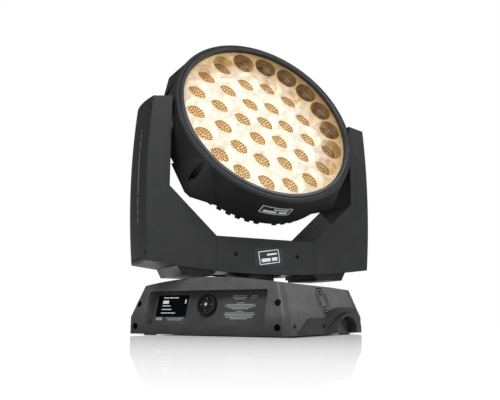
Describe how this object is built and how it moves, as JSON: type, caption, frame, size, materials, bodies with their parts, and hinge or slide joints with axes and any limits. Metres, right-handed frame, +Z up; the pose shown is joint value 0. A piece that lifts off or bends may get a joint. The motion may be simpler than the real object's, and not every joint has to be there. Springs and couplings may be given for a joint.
{
  "type": "moving head light",
  "caption": "Motorised stage light: a round head faced with clustered lenses tilts in a U-shaped yoke that pans on a box base with a display, jog ring, hand-holds and rear sockets.",
  "frame": {"origin": "on the pan axis at the underside of the bottom plate", "axes": "+Z up along the pan axis, -Y the way the display faces, +X to the right as the display is read"},
  "size_m": [0.3324, 0.4268, 0.5478],
  "materials": {
    "charcoal_plastic": "fine-grained charcoal moulding",
    "slate_ring": "smooth satin slate",
    "black_panel": "satin black",
    "display": "glossy dark window",
    "grey_button": "smooth grey",
    "lens": "clear warm optical moulding",
    "clear_guides": "polished clear",
    "light_board": "white solder mask on metal core",
    "circuit_board": "green solder mask",
    "black_steel": "black powder coat",
    "bare_steel": "zinc plated",
    "motor_steel": "black laminations",
    "aluminium": "machined",
    "black_screws": "black oxide",
    "bright_screws": "bright zinc",
    "socket_blue": "blue moulding",
    "socket_nickel": "satin nickel",
    "dark_label": "blank printed plate",
    "rubber": "matt black"
  },
  "bodies": {
    "base": {"bottom_plate": "black_steel", "base_chassis": "bare_steel", "front_frame": "charcoal_plastic", "rear_frame": "charcoal_plastic", "base_casing": "charcoal_plastic", "control_panel": "black_panel", "display_screen": "display", "connector_panel": "black_steel", "power_sockets": "socket_blue", "signal_sockets": "socket_nickel", "fuse_holder": "black_panel", "power_supply": "aluminium", "control_board": "circuit_board", "base_fan_frame": "black_panel", "rubber_feet": "rubber", "bracket_sockets": "bare_steel", "pan_spindle": "bare_steel", "pan_pulley": "aluminium", "base_screws": "black_screws", "carry_handle_right": "charcoal_plastic", "carry_handle_left": "charcoal_plastic"},
    "jog": {"jog_ring": "black_panel"},
    "button": {"enter_button": "grey_button"},
    "base_fan": {"base_fan_rotor": "black_panel"},
    "yoke": {"arm_cover_front_right": "charcoal_plastic", "arm_cover_front_left": "charcoal_plastic", "arm_cover_rear_right": "charcoal_plastic", "arm_cover_rear_left": "charcoal_plastic", "side_cover_right": "charcoal_plastic", "side_cover_left": "charcoal_plastic", "centre_cover_front": "charcoal_plastic", "centre_cover_rear": "charcoal_plastic", "under_covers": "charcoal_plastic", "yoke_frame": "bare_steel", "yoke_bearings": "bare_steel", "pan_neck": "aluminium", "pan_motor": "motor_steel", "tilt_motor": "motor_steel", "drive_belts": "rubber", "name_plate": "dark_label", "yoke_screws": "black_screws"},
    "pan_drive": {"pan_motor_pulley": "aluminium"},
    "tilt_drive": {"tilt_motor_pulley": "aluminium"},
    "pan_brake": {"pan_lock": "grey_button"},
    "tilt_brake": {"tilt_lock": "grey_button"},
    "head": {"head_casing": "charcoal_plastic", "front_ring": "slate_ring", "guide_rods": "bare_steel", "zoom_actuators": "motor_steel", "led_board": "light_board", "light_collimators": "clear_guides", "heat_sink": "aluminium", "head_fan_frame": "black_panel", "rear_cover": "charcoal_plastic", "tilt_hubs": "aluminium", "head_badge": "dark_label", "head_screws": "bright_screws"},
    "head_fan": {"head_fan_rotor": "black_panel"},
    "zoom": {"lens_carriage": "aluminium"},
    "lens": {"lens_disc": "lens"}
  },
  "joints": [
    {"name": "pan", "type": "hinge", "parent": "base", "child": "yoke", "pos_m": [0, 0, 0.1], "axis": [0, 0, 1], "range_deg": [-326.9, 213.1]},
    {"name": "tilt", "type": "hinge", "parent": "yoke", "child": "head", "pos_m": [0, 0, 0.3582], "axis": [0.5467, 0.8373, 0], "range_deg": [-173.1, 36.9]},
    {"name": "zoom_slide", "type": "slide", "parent": "head", "child": "zoom", "axis": [0.777, -0.5073, 0.3727], "range_m": [-0.028, 0]},
    {"name": "lens_spin", "type": "hinge", "parent": "zoom", "child": "lens", "pos_m": [0, 0, 0.3582], "axis": [0.777, -0.5073, 0.3727], "continuous": true},
    {"name": "head_fan_spin", "type": "hinge", "parent": "head", "child": "head_fan", "pos_m": [0, 0, 0.3582], "axis": [0.777, -0.5073, 0.3727], "continuous": true},
    {"name": "base_fan_spin", "type": "hinge", "parent": "base", "child": "base_fan", "pos_m": [0.104, 0, 0.034], "axis": [1, 0, 0], "continuous": true},
    {"name": "jog_turn", "type": "hinge", "parent": "base", "child": "jog", "pos_m": [-0.004, -0.13844, 0.04528], "axis": [0, -0.9615, 0.2746], "continuous": true},
    {"name": "enter_press", "type": "slide", "parent": "base", "child": "button", "axis": [0, 0.9615, -0.2746], "range_m": [0, 0.0012], "stiffness_N_per_m": 800},
    {"name": "pan_motor_spin", "type": "hinge", "parent": "yoke", "child": "pan_drive", "pos_m": [-0.03499, -0.05359, 0.11], "axis": [0, 0, 1], "range_deg": [-850, 1290]},
    {"name": "tilt_motor_spin", "type": "hinge", "parent": "yoke", "child": "tilt_drive", "pos_m": [-0.10934, -0.16747, 0.16], "axis": [0.5467, 0.8373, 0], "range_deg": [-400, 100]},
    {"name": "pan_lock_slide", "type": "slide", "parent": "yoke", "child": "pan_brake", "axis": [0.8373, -0.5467, 0], "range_m": [0, 0.005]},
    {"name": "tilt_lock_slide", "type": "slide", "parent": "yoke", "child": "tilt_brake", "axis": [0.8373, -0.5467, 0], "range_m": [0, 0.005]}
  ],
  "couplings": [
    {"joint": "pan_motor_spin", "follows": "pan", "ratio": -3.8333},
    {"joint": "tilt_motor_spin", "follows": "tilt", "ratio": 2.1667}
  ]
}
